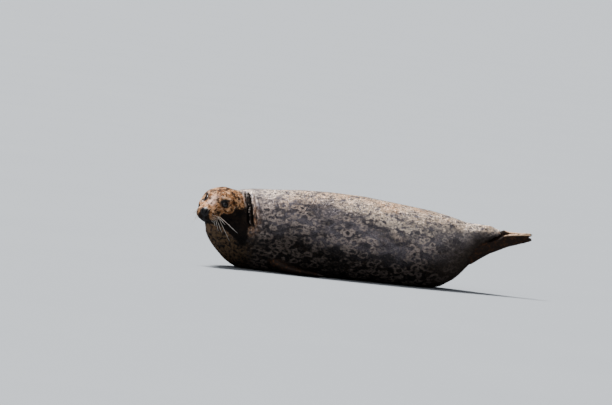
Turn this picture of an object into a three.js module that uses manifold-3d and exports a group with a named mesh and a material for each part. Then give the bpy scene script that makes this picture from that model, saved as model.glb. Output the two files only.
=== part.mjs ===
// A life-size harbour seal (Phoca vitulina) resting on its belly, head up and turned to its
// left, hind flippers held together and raised. Millimetres, +Z up, the snout towards -X, the
// seal's left side towards -Y, and the origin in the middle of the flat that it lies on.
import * as THREE from "three";
import { LoftGeometry } from "three/addons/geometries/LoftGeometry.js";
import { mergeVertices } from "three/addons/utils/BufferGeometryUtils.js";
import Module from "manifold-3d";

const wasm = await Module();
wasm.setup();
const V = (x, y, z) => new THREE.Vector3(x, y, z);
const rad = THREE.MathUtils.degToRad;
const { clamp, lerp } = THREE.MathUtils;

// ---------- driving dimensions ----------
const GAP = 0.3; // kept between pieces that touch

// The trunk, tail and chest: height of the back, of the belly line, and half the width, at x.
const TRUNK = {
  stations: [
    { x: -430, top: 357, bottom: -10, half: 168 },
    { x: -250, top: 376, bottom: -10, half: 188 },
    { x: 0, top: 379, bottom: -10, half: 192 },
    { x: 200, top: 361, bottom: -10, half: 181 },
    { x: 330, top: 348, bottom: -9, half: 158 },
    { x: 425, top: 333, bottom: 9, half: 130 },
    { x: 500, top: 312, bottom: 66, half: 98 },
    { x: 560, top: 309, bottom: 144, half: 72 },
    { x: 610, top: 308, bottom: 222, half: 43 },
    { x: 645, top: 299, bottom: 256, half: 25 },
  ],
  widest: 0.46, // how high up the section is widest
  power: { up: 2.05, down: 2.35 }, // 2 is an ellipse, more is squarer
  startCap: 192, // the chest, rounded forward of the first station
  endCap: 24, // the tail's tip
};
const THROAT = { from: V(-430, 0, 186), to: V(-556, -38, 192), fromRadius: 146, toRadius: 102 };
const NAPE = { from: V(-430, 0, 215), to: V(-586, -84, 282), fromRadius: 128, toRadius: 64 };

// The head, in its own frame: +X to the snout, +Y to the seal's left, +Z to the crown, and
// the origin midway between the eyes.
const HEAD = {
  at: V(-613, -123, 285),
  turn: 58, // degrees to the seal's left
  pitch: 12, // snout down
  roll: 10.5, // left side down
};
const SKULL = {
  stations: [
    { x: -62, top: 54, bottom: -92, half: 94 },
    { x: -26, top: 52, bottom: -93, half: 89 },
    { x: 4, top: 40, bottom: -92, half: 77 },
    { x: 32, top: 22, bottom: -91, half: 62 },
    { x: 58, top: 6, bottom: -87, half: 49 },
    { x: 80, top: -8, bottom: -76, half: 36 },
  ],
  widest: 0.44,
  power: { up: 1.95, down: 2.1 },
  startCap: 60,
  endCap: 15,
};
const BROW = { centre: V(-22, 42, 14), radii: V(34, 34, 24) };
const CHEEK = { centre: V(-18, 52, -34), radii: V(46, 44, 42) };
const PAD = { centre: V(59, 29, -41), radii: V(34, 28, 27) };
const NOSE = { centre: V(85, 0, -22), radii: V(13, 17, 13) };
const EYE = { radius: 19.6, at: V(1, 43, 2.5), gaze: V(0.68, 0.66, 0.3) };
const ORBIT = { radius: 22, ahead: 27 }; // the hollow in front of the eye

// The left flippers: the middle of each section, half its breadth and half its thickness.
const FORE_FLIPPER = {
  across: V(0, -1, 0.12), // the breadth lies almost level, palm down
  stations: [
    { at: V(-345, -118, 52), broad: 30, thick: 24 },
    { at: V(-300, -141, 34), broad: 41, thick: 21 },
    { at: V(-250, -156, 21), broad: 48, thick: 16 },
    { at: V(-200, -160, 14), broad: 50, thick: 12.5 },
    { at: V(-156, -154, 10.5), broad: 46, thick: 10 },
    { at: V(-126, -147, 9), broad: 33, thick: 7.5 },
  ],
  tip: V(-113, -143, 9),
  claw: { long: 27, radius: 3.4, out: 15, spread: 68, drop: 10 },
};
const HIND_FLIPPER = {
  across: V(0, 0, 1), // the breadth stands upright, sole against sole
  stations: [
    { at: V(515, -44, 150), broad: 36, thick: 26 },
    { at: V(553, -45, 165), broad: 40, thick: 26 },
    { at: V(590, -40, 187), broad: 34, thick: 24 },
    { at: V(630, -31, 208), broad: 28, thick: 19 },
    { at: V(660, -24, 222), broad: 29, thick: 15 },
    { at: V(684, -20, 237), broad: 33, thick: 12 },
    { at: V(710, -17, 247), broad: 31, thick: 10 },
    { at: V(748, -14, 256), broad: 27, thick: 8 },
    { at: V(780, -12, 262), broad: 22, thick: 6.5 },
    { at: V(800, -11, 267), broad: 19, thick: 5 },
    { at: V(811, -10, 269), broad: 13, thick: 3.8 },
  ],
  tip: V(814, -10, 269),
  claw: { long: 12, radius: 1.9, out: -15, spread: 20, drop: -15 },
  fork: { deep: 24, wide: 60, tall: 8, out: 4 }, // between the long outer toes
};
const FLIPPER_ROOT = 12; // how far a flipper's closed end reaches into the body
const TOES = 5;
const FAR_SIDE_LIFT = { all: 5, hump: 26, at: 664, reach: 38 }; // the right hind flipper lies higher

// How wide the hollows are that flesh fills where two forms meet.
const FILLED = { body: 50, nape: 34, face: 22, pads: 14 };

// The axes that the skin is drawn round: where each starts and ends, and where its rings stand.
const BODY_AXIS = { tip: 645, front: -590, bow: 190, aside: -24, lower: -30 };
const HEAD_AXIS = { back: -150, front: 62, from: -40, until: 60, high: -16, low: -38 };
const AROUND = { body: 36, head: 36, flipper: 14, claw: 6 };

// The planes that part the pieces; each normal points to the piece ahead of it.
const COLLAR = { at: V(-66, 0, 0), normal: V(0.92, -0.12, 0.37) }; // behind the cheeks
const SNOUT = { at: V(36, 0, -40), normal: V(0.97, 0, 0.24) }; // where the muzzle starts
const LIPS = { at: V(70, 0, -58), normal: V(0.12, 0, 0.99) }; // the line of the mouth
const NECK_BASE = { at: V(-455, 0, 180), normal: V(-0.93, -0.28, 0.24) };
const SHOULDER = { at: V(-235, 0, 180), normal: V(-1, 0, 0.1) };
const LOIN = { at: V(215, 0, 180), normal: V(-1, 0, 0) };
const TAIL_ROOT = { at: V(548, 0, 180), normal: V(-1, 0, -0.2) };
const FLOOR = { at: V(0, 0, -GAP / 2), normal: V(0, 0, 1) };

// ---------- the head's place ----------
const headGroup = new THREE.Group();
headGroup.position.copy(HEAD.at);
headGroup.rotation.set(rad(-HEAD.roll), rad(HEAD.pitch), rad(180 + HEAD.turn), "ZYX");
headGroup.updateMatrix();
const fromHead = headGroup.matrix.clone();
const toHead = fromHead.clone().invert();

// ---------- fields: distance-like values, negative inside ----------
function ellipsoid(p, { centre, radii }) {
  const near = p.clone().sub(centre).divide(radii);
  const k = near.length();
  return (k * (k - 1)) / Math.max(near.divide(radii).length(), 1e-6);
}

function cone(p, { from, to, fromRadius, toRadius }) {
  const axis = to.clone().sub(from);
  const t = clamp(p.clone().sub(from).dot(axis) / axis.lengthSq(), 0, 1);
  return p.distanceTo(from.clone().addScaledVector(axis, t)) - lerp(fromRadius, toRadius, t);
}

// The union of several fields, with hollows about `k` wide filled where they meet.
function blend(k, ...values) {
  return values.reduce((a, b) => {
    const h = clamp(0.5 + (0.5 * (b - a)) / k, 0, 1);
    return lerp(b, a, h) - k * h * (1 - h);
  });
}

// A smooth curve through one named value of the stations.
function profile(stations, name, x) {
  const last = stations.length - 1;
  const next = clamp(stations.findIndex((s) => s.x > x), 1, last) || last;
  const i = x >= stations[last].x ? last - 1 : next - 1;
  const slope = (j) => {
    const before = stations[Math.max(j - 1, 0)];
    const after = stations[Math.min(j + 1, last)];
    return (after[name] - before[name]) / (after.x - before.x);
  };
  const [a, b] = [stations[i], stations[i + 1]];
  const width = b.x - a.x;
  const t = (x - a.x) / width;
  const curve = t * t * (3 - 2 * t);
  const leave = t * (1 - t) * (1 - t) * width * slope(i);
  const arrive = t * t * (t - 1) * width * slope(i + 1);
  return lerp(a[name], b[name], curve) + leave + arrive;
}

// A body along X whose sections are squarish ellipses, rounded past its first and last stations.
function swelling(p, { stations, widest, power, startCap, endCap }) {
  const [first, last] = [stations[0].x, stations[stations.length - 1].x];
  const x = clamp(p.x, first, last);
  const [top, bottom, half] = ["top", "bottom", "half"].map((name) => profile(stations, name, x));
  const middle = lerp(bottom, top, widest);
  const up = p.z > middle;
  const tall = up ? top - middle : middle - bottom;
  const n = up ? power.up : power.down;
  const round = (Math.abs(p.y / half) ** n + Math.abs((p.z - middle) / tall) ** n) ** (1 / n);
  const past = p.x < first ? (first - p.x) / startCap : Math.max(p.x - last, 0) / endCap;
  return (Math.hypot(round, past) - 1) * Math.min(half, tall);
}

function headField(q) {
  const p = V(q.x, Math.abs(q.y), q.z); // both sides alike
  const face = blend(FILLED.face, swelling(p, SKULL), ellipsoid(p, BROW), ellipsoid(p, CHEEK));
  return blend(FILLED.pads, face, ellipsoid(p, PAD), ellipsoid(p, NOSE));
}

function sealField(p) {
  const body = blend(FILLED.body, swelling(p, TRUNK), cone(p, THROAT), cone(p, NAPE));
  return blend(FILLED.nape, body, headField(p.clone().applyMatrix4(toHead)));
}

// ---------- surfaces: rings of points found on a field by rays from an axis ----------
const RAY = { step: 7, longest: 600, halvings: 12 };

function reach(field, from, along) {
  let out = RAY.step;
  while (out < RAY.longest && field(from.clone().addScaledVector(along, out)) < 0) out += RAY.step;
  let low = out - RAY.step;
  for (let i = 0; i < RAY.halvings; i++) {
    const mid = (low + out) / 2;
    if (field(from.clone().addScaledVector(along, mid)) < 0) low = mid;
    else out = mid;
  }
  return from.clone().addScaledVector(along, (low + out) / 2);
}

// The end of a loft: every point of its last ring on the one straight ahead.
function pole(field, from, ahead, count) {
  return Array(count).fill(reach(field, from, ahead));
}

// A ring round `from` across `ahead`; `lean` degrees turn its rays towards `ahead`.
function ring(field, from, ahead, lean, count) {
  const side = V(0, 0, 1).cross(ahead).normalize();
  const up = ahead.clone().cross(side).normalize();
  const [c, s] = [Math.cos(rad(lean)), Math.sin(rad(lean))];
  return Array.from({ length: count }, (_, i) => {
    const a = (i / count) * 2 * Math.PI;
    const ray = side.clone().multiplyScalar(Math.cos(a) * c).addScaledVector(up, Math.sin(a) * c);
    return reach(field, from, ray.addScaledVector(ahead, s).normalize());
  });
}

function solid(geometry) {
  const plain = new THREE.BufferGeometry().copy(geometry);
  plain.deleteAttribute("normal");
  plain.deleteAttribute("uv");
  const merged = mergeVertices(plain, 1e-3);
  const corners = [...merged.index.array];
  const whole = (_, i) => {
    const [a, b, c] = corners.slice(i - (i % 3), i - (i % 3) + 3);
    return a !== b && b !== c && c !== a;
  };
  return new wasm.Manifold(
    new wasm.Mesh({
      numProp: 3,
      vertProperties: new Float32Array(merged.attributes.position.array),
      triVerts: new Uint32Array(corners.filter(whole)),
    }),
  );
}

function geometryOf(made) {
  const m = made.getMesh();
  const position = new Float32Array(m.numVert * 3);
  for (let i = 0; i < m.numVert; i++)
    position.set(m.vertProperties.subarray(i * m.numProp, i * m.numProp + 3), i * 3);
  const g = new THREE.BufferGeometry();
  g.setAttribute("position", new THREE.BufferAttribute(position, 3));
  g.setIndex(new THREE.BufferAttribute(new Uint32Array(m.triVerts), 1));
  g.computeVertexNormals();
  return g;
}

const steps = (from, to, count) => Array.from({ length: count + 1 }, (_, i) => lerp(from, to, i / count));

function bodyLoft(around) {
  const { tip, front, bow, aside, lower } = BODY_AXIS;
  const axis = (x) => {
    const s = TRUNK.stations;
    const at = clamp(x, s[0].x, s[s.length - 1].x);
    const ahead = clamp((s[0].x - x) / bow, 0, 1);
    const z = lerp(profile(s, "bottom", at), profile(s, "top", at), TRUNK.widest);
    return V(x, aside * ahead, z + lower * ahead);
  };
  const forward = V(-1, 0, 0);
  const rings = [pole(sealField, axis(tip), V(1, 0, 0), around)];
  for (const lean of [-76, -54, -28]) rings.push(ring(sealField, axis(tip), forward, lean, around));
  const stations = [...steps(tip, 470, 6), ...steps(416, -368, 11), ...steps(-410, front, 6)];
  for (const x of stations) rings.push(ring(sealField, axis(x), forward, 0, around));
  for (const lean of [25, 50, 72]) rings.push(ring(sealField, axis(front), forward, lean, around));
  return [...rings, pole(sealField, axis(front), forward, around)];
}

function headLoft(around) {
  const { back, front, from, until, high, low } = HEAD_AXIS;
  const field = (q) => sealField(q.clone().applyMatrix4(fromHead));
  const axis = (x) => V(x, 0, lerp(high, low, clamp((x - from) / (until - from), 0, 1)));
  const forward = V(1, 0, 0);
  const rings = [pole(field, axis(back), V(-1, 0, 0), around)];
  for (const x of [...steps(back, -96, 3), ...steps(-82, front, 14)])
    rings.push(ring(field, axis(x), forward, 0, around));
  for (const lean of [12, 26, 40, 54, 67, 79])
    rings.push(ring(field, axis(front), forward, lean, around));
  return [...rings, pole(field, axis(front), forward, around)];
}

// Everything on the side of a plane that `normal` points to, `gap` beyond it.
function beyond(at, normal, gap) {
  const size = 5000;
  const box = new THREE.BoxGeometry(size, size, size).translate(0, 0, size / 2 + gap);
  const turn = new THREE.Quaternion().setFromUnitVectors(V(0, 0, 1), normal.clone().normalize());
  return solid(box.applyQuaternion(turn).translate(at.x, at.y, at.z));
}

// ---------- materials ----------
const material = (color, roughness) => new THREE.MeshStandardMaterial({ color, roughness, metalness: 0 });
const coat = material(0x6a6058, 0.75);
const bareSkin = material(0x1b1a1a, 0.35);
const eyeBlack = material(0x050505, 0.08);
const clawHorn = material(0x2e2823, 0.4);

// ---------- assembly helpers ----------
const group = new THREE.Group();
group.add(headGroup);
const sides = [
  { name: "left", sign: 1 }, // towards +Y in the head's frame and towards -Y in the body's
  { name: "right", sign: -1 },
];

function addPiece(name, made, finish, parent = group) {
  const mesh = new THREE.Mesh(geometryOf(made), finish);
  mesh.name = name;
  parent.add(mesh);
}

// The slice of a solid between two planes at `from` and `to` (either may be left out).
function slice(made, from, to) {
  const cut = from ? made.intersect(beyond(from.at, from.normal, GAP / 2)) : made;
  return to ? cut.intersect(beyond(to.at, to.normal.clone().negate(), GAP / 2)) : cut;
}

// ---------- head ----------
const sphere = (radius, at) => new THREE.SphereGeometry(radius, 16, 10).translate(at.x, at.y, at.z);
const eyeCentre = (sign) => V(EYE.at.x, sign * EYE.at.y, EYE.at.z);
const nosePad = (grow) =>
  solid(
    new THREE.SphereGeometry(1, 14, 8)
      .scale(NOSE.radii.x + grow, NOSE.radii.y + grow, NOSE.radii.z + grow)
      .translate(NOSE.centre.x + 6, NOSE.centre.y, NOSE.centre.z),
  );

const wholeHead = solid(new LoftGeometry(headLoft(AROUND.head)));
const hollows = sides.flatMap(({ sign }) => {
  const gaze = V(EYE.gaze.x, sign * EYE.gaze.y, EYE.gaze.z).normalize();
  const orbit = eyeCentre(sign).addScaledVector(gaze, ORBIT.ahead);
  return [solid(sphere(EYE.radius + GAP, eyeCentre(sign))), solid(sphere(ORBIT.radius, orbit))];
});
const face = hollows.reduce((made, room) => made.subtract(room), slice(wholeHead, COLLAR));
const snout = slice(face, SNOUT);
addPiece("head", slice(face, null, SNOUT), coat, headGroup);
addPiece("muzzle", slice(snout, LIPS).subtract(nosePad(GAP)), coat, headGroup);
addPiece("nose_pad", slice(snout, LIPS).intersect(nosePad(0)), bareSkin, headGroup);
addPiece("lower_jaw", slice(snout, null, LIPS), coat, headGroup);
for (const { name, sign } of sides) {
  const eye = new THREE.Mesh(sphere(EYE.radius, V(0, 0, 0)), eyeBlack);
  eye.name = `eye_${name}`;
  eye.position.copy(eyeCentre(sign));
  headGroup.add(eye);
}

// ---------- body ----------
const collarInBody = {
  at: COLLAR.at.clone().applyMatrix4(fromHead),
  normal: COLLAR.normal.clone().transformDirection(fromHead),
};
const wholeBody = slice(solid(new LoftGeometry(bodyLoft(AROUND.body))), FLOOR);
addPiece("neck", slice(wholeBody, NECK_BASE, collarInBody), coat);
addPiece("chest", slice(wholeBody, SHOULDER, NECK_BASE), coat);
addPiece("trunk", slice(wholeBody, LOIN, SHOULDER), coat);
addPiece("rump", slice(wholeBody, TAIL_ROOT, LOIN), coat);
addPiece("tail", slice(wholeBody, null, TAIL_ROOT), coat);

// ---------- flippers ----------
const onSide = (p, sign, lift) => V(p.x, p.y * sign, p.z + lift(p.x));

function flipper({ across, stations, tip }, sign, lift) {
  const around = AROUND.flipper;
  const breadth = V(across.x, across.y * sign, across.z).normalize();
  const depth = V(1, 0, 0).cross(breadth).normalize();
  const sections = stations.map(({ at, broad, thick }) =>
    Array.from({ length: around }, (_, i) => {
      const a = (i / around) * 2 * Math.PI;
      return onSide(at, sign, lift)
        .addScaledVector(breadth, Math.cos(a) * broad)
        .addScaledVector(depth, Math.sin(a) * thick);
    }),
  );
  const root = Array(around).fill(onSide(stations[0].at, sign, lift).add(V(-FLIPPER_ROOT, 0, 0)));
  return solid(new LoftGeometry([root, ...sections, Array(around).fill(onSide(tip, sign, lift))]));
}

function claw({ across, tip, claw: { long, radius, out, spread, drop } }, sign, lift, toe, grow) {
  const place = (2 * toe) / (TOES - 1) - 1; // -1 to 1 across the flipper's end
  const breadth = V(across.x, across.y * sign, across.z).normalize();
  const at = onSide(tip, sign, lift).addScaledVector(breadth, (place * spread) / 2);
  at.x += out - long / 2 - drop * place * place;
  const horn = new THREE.ConeGeometry(radius + grow, long + 2 * grow, AROUND.claw);
  return solid(horn.rotateZ(-Math.PI / 2).translate(at.x, at.y, at.z));
}

// The hollow between the outer toes of a flipper's end.
function forkOf({ tip, fork: { deep, wide, tall, out } }, sign, lift) {
  const at = onSide(tip, sign, lift);
  const hollow = new THREE.CylinderGeometry(1, 1, 1, 14).scale(deep, wide, tall);
  return solid(hollow.translate(at.x + out, at.y, at.z));
}

const level = () => 0;
const raised = (x) => {
  const { all, hump, at, reach: wide } = FAR_SIDE_LIFT;
  return all + hump * Math.exp(-(((x - at) / wide) ** 2));
};
for (const { name, sign } of sides) {
  const limbs = [
    { kind: "fore", shape: FORE_FLIPPER, lift: level },
    { kind: "hind", shape: HIND_FLIPPER, lift: sign > 0 ? level : raised },
  ];
  for (const { kind, shape, lift } of limbs) {
    const clear = V(GAP, shape.tip.y < 0 ? -sign * GAP : 0, -GAP);
    let made = flipper(shape, sign, lift).subtract(wholeBody).translate(clear.x, clear.y, clear.z);
    if (shape.fork) made = made.subtract(forkOf(shape, sign, lift));
    for (let toe = 0; toe < TOES; toe++) {
      addPiece(`${kind}_claw_${name}_${toe + 1}`, claw(shape, sign, lift, toe, 0), clawHorn);
      made = made.subtract(claw(shape, sign, lift, toe, GAP));
    }
    addPiece(`${kind}_flipper_${name}`, slice(made, FLOOR), coat);
  }
}

export default group;
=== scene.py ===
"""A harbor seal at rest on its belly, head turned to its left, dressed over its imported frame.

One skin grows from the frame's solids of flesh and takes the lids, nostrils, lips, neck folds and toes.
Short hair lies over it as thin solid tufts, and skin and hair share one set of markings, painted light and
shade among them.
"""

import logging
from collections.abc import Iterator
from contextlib import contextmanager
from dataclasses import dataclass, field
from enum import Enum
from math import cos, radians, sin
from typing import Any

import bpy
import numpy as np
from bpy.types import Material, Mesh, Node, NodeSocket, Object
from mathutils import Euler, Matrix, Vector
from mathutils.bvhtree import BVHTree


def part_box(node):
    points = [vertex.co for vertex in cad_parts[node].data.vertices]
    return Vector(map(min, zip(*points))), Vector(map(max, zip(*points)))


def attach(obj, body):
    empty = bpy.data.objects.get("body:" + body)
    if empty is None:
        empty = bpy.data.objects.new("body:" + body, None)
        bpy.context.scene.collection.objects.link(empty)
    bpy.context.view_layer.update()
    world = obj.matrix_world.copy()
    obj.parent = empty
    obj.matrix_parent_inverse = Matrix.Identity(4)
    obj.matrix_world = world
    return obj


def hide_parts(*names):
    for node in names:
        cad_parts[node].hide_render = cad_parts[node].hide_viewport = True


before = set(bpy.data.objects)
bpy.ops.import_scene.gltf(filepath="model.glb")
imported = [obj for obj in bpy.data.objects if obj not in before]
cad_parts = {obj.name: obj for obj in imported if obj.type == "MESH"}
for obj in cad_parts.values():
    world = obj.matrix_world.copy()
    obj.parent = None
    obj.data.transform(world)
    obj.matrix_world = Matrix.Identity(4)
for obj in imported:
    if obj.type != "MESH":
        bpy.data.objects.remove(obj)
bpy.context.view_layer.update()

LOG = logging.getLogger("seal")
BODY = "root"
SIDES = {"left": 1, "right": -1}


# ---------------------------------------------------------------- small tools


def fade(value: np.ndarray, start: float, end: float) -> np.ndarray:
    """Turns a distance into a smooth step.

    Args:
        value: The distances.
        start: Where the step is 0.
        end: Where the step is 1; it may lie below start.

    Returns:
        Numbers from 0 to 1.
    """
    share = np.clip((value - start) / (end - start), 0.0, 1.0)
    return share * share * (3 - 2 * share)


def swell(distance: np.ndarray, width: float) -> np.ndarray:
    """Gives a soft bell that is 1 at no distance and dies away past width."""
    return np.exp(-((distance / width) ** 2))


def unit(rows: np.ndarray) -> np.ndarray:
    """Scales each row to length 1."""
    return rows / np.maximum(np.linalg.norm(rows, axis=-1, keepdims=True), 1e-12)


def along(points: np.ndarray, path: list) -> tuple[np.ndarray, np.ndarray]:
    """Measures points against a path of straight runs.

    Args:
        points: Rows of coordinates, in two or three dimensions.
        path: The path's corners, in as many dimensions.

    Returns:
        Each point's distance from the path, and how far along it the nearest place is, from 0 to 1.
    """
    corners = np.array(path, float)
    best = np.full(len(points), np.inf)
    share = np.zeros(len(points))
    runs = len(corners) - 1
    for index in range(runs):
        start, run = corners[index], corners[index + 1] - corners[index]
        place = np.clip((points - start) @ run / (run @ run), 0, 1)
        distance = np.linalg.norm(points - start - place[:, None] * run, axis=1)
        nearer = distance < best
        best = np.where(nearer, distance, best)
        share = np.where(nearer, (index + place) / runs, share)
    return best, share


def choose(piece: Object) -> None:
    """Makes a piece the only selected object, and the active one.

    Args:
        piece: The piece.
    """
    bpy.ops.object.select_all(action="DESELECT")
    piece.select_set(True)
    bpy.context.view_layer.objects.active = piece


@contextmanager
def editing() -> Iterator[None]:
    """Opens the active piece for editing and closes it afterwards."""
    bpy.ops.object.mode_set(mode="EDIT")
    yield
    bpy.ops.object.mode_set(mode="OBJECT")


def finish_with(piece: Object, kind: str, **settings: Any) -> None:
    """Adds a modifier to a piece and applies it.

    Args:
        piece: The piece.
        kind: The modifier's type.
        settings: The modifier's settings.
    """
    choose(piece)
    modifier = piece.modifiers.new(kind.lower(), kind)
    for name, value in settings.items():
        setattr(modifier, name, value)
    bpy.ops.object.modifier_apply(modifier=modifier.name)


def read(items: Any, name: str, width: int = 3, kind: type = float) -> np.ndarray:
    """Reads one property of a mesh's points, corners or faces.

    Args:
        items: The mesh's points, corners or faces.
        name: The property.
        width: How many numbers each of them has.
        kind: The numbers' type.

    Returns:
        Rows of numbers.
    """
    rows = np.empty(len(items) * width, kind)
    items.foreach_get(name, rows)
    return rows.reshape(-1, width)


def places(mesh: Mesh) -> np.ndarray:
    """Reads a mesh's points as rows of x, y and z."""
    return read(mesh.vertices, "co")


def put(mesh: Mesh, points: np.ndarray) -> None:
    """Moves a mesh's points to the rows given."""
    mesh.vertices.foreach_set("co", np.ascontiguousarray(points, float).ravel())
    mesh.update()


def facing(mesh: Mesh) -> np.ndarray:
    """Reads the directions in which a mesh's points face."""
    return read(mesh.vertex_normals, "vector")


def mark(mesh: Mesh, name: str, values: np.ndarray) -> None:
    """Keeps a number for each point of a mesh, for its finish to read."""
    layer = mesh.attributes.new(name, "FLOAT", "POINT")
    layer.data.foreach_set("value", np.ascontiguousarray(values, np.float32))


def mesh_object(name: str, points: np.ndarray, triangles: np.ndarray) -> Object:
    """Makes an object from rows of points and triangles.

    Args:
        name: The object's name.
        points: Rows of coordinates.
        triangles: Rows of three point numbers.

    Returns:
        The object, in the scene's collection.
    """
    mesh = bpy.data.meshes.new(name)
    mesh.vertices.add(len(points))
    mesh.vertices.foreach_set("co", points.ravel())
    mesh.loops.add(triangles.size)
    mesh.loops.foreach_set("vertex_index", triangles.ravel())
    mesh.polygons.add(len(triangles))
    mesh.polygons.foreach_set("loop_start", np.arange(0, triangles.size, 3))
    mesh.update(calc_edges=True)
    piece = bpy.data.objects.new(name, mesh)
    bpy.context.collection.objects.link(piece)
    return piece


def keep(piece: Object, finish: Material, slot: str, *nodes: str) -> Object:
    """Dresses a finished piece and ties it to the frame.

    Args:
        piece: The piece.
        finish: Its material.
        slot: Not used.
        nodes: The CAD nodes that it stands for.

    Returns:
        The piece.
    """
    piece.data.materials.clear()
    piece.data.materials.append(finish)
    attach(piece, BODY)
    if nodes:
        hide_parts(*nodes)
    return piece


# ---------------------------------------------------------------- the head's own axes


@dataclass(frozen=True)
class HeadAxes:
    """Axes forward to the nose, left and up, from a point between the eyes, in metres."""

    centre: tuple = (-0.613, -0.123, 0.285)
    turn: float = 58.0
    pitch: float = 12.0
    roll: float = 10.5

    @property
    def rows(self) -> np.ndarray:
        """The forward, left and up directions as rows."""
        turned = Euler((radians(-self.roll), radians(self.pitch), radians(180 + self.turn)), "XYZ")
        return np.array(turned.to_matrix()).T

    def inward(self, points: np.ndarray) -> np.ndarray:
        """Turns places in the frame into places along the head's axes."""
        return (np.asarray(points, float) - self.centre) @ self.rows.T

    def outward(self, points: np.ndarray) -> np.ndarray:
        """Turns places along the head's axes into places in the frame."""
        return np.asarray(points, float) @ self.rows + self.centre

    def direction(self, points: np.ndarray) -> np.ndarray:
        """Turns directions along the head's axes into directions in the frame."""
        return np.asarray(points, float) @ self.rows


@dataclass(frozen=True)
class Socket:
    """One eye's place, look and opening, along the head's axes."""

    side: int
    radius: float = 0.0196
    out: float = 0.043
    height: float = 0.0025
    ahead: float = 0.001
    half_width: float = 56.0
    half_height: float = 47.0

    @property
    def centre(self) -> np.ndarray:
        """The eyeball's centre."""
        return np.array([self.ahead, self.side * self.out, self.height])

    @property
    def gaze(self) -> np.ndarray:
        """The direction in which the eye looks."""
        return unit(np.array([0.68, 0.66 * self.side, 0.3]))

    @property
    def rows(self) -> np.ndarray:
        """The gaze, the slit's outer end and its top as rows."""
        upward = unit(np.array([-0.1, -0.16 * self.side, 1.0]))
        across = unit(np.cross(upward, self.gaze)) * self.side
        return np.array([self.gaze, across, np.cross(self.gaze, across) * self.side])

    def polar(self, local: np.ndarray) -> tuple[np.ndarray, np.ndarray, np.ndarray]:
        """Measures places from the eyeball's centre.

        Args:
            local: Places along the head's axes.

        Returns:
            The distance, the angle from the gaze in degrees, and the opening's edge at that bearing.
        """
        turned = (local - self.centre) @ self.rows.T
        distance = np.linalg.norm(turned, axis=1)
        angle = np.degrees(np.arccos(np.clip(turned[:, 0] / np.maximum(distance, 1e-9), -1, 1)))
        side = np.hypot(turned[:, 1], turned[:, 2]) + 1e-9
        wide, high = turned[:, 1] / side, turned[:, 2] / side
        edge = 1 / np.hypot(wide / self.half_width, high / self.half_height)
        return distance, angle, edge


@dataclass(frozen=True)
class Spot:
    """A small dark spot on each side of the head, along the head's axes."""

    ahead: float
    out: float
    height: float
    width: float


AXES = HeadAxes()
SOCKETS = [Socket(side) for side in SIDES.values()]
NOSE, NOSE_RADII = (0.086, 0.0, -0.026), (0.019, 0.020, 0.019)
PAD, PAD_RADII = (0.059, 0.029, -0.041), (0.034, 0.028, 0.027)  # one of the two whisker pads
PADS_START = 0.01  # all whisker roots lie ahead of this
NAPE = (0.92, -0.12, 0.37)  # the direction from the neck's folds to the face
BROW_SPOT = Spot(0.016, 0.034, 0.032, 0.0065)
EAR_SPOT = Spot(-0.046, 0.070, -0.004, 0.0050)
FROWN_SPOT = Spot(0.031, 0.018, 0.021, 0.0085)


def above_mouth(local: np.ndarray) -> np.ndarray:
    """Measures how far above the line of the mouth places along the head's axes lie."""
    return local[:, 2] + 0.058 + 0.12 * (local[:, 0] - 0.07)


# ---------------------------------------------------------------- where things are on the body


class Region(Enum):
    """The parts of the body that carry hair of their own length."""

    FACE = "face"
    NECK = "neck"
    BACK = "back"
    FLANK_LEFT = "flank_left"
    FLANK_RIGHT = "flank_right"
    RUMP = "rump"
    FORE_FEET = "fore_feet"
    HIND_FEET = "hind_feet"


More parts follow.
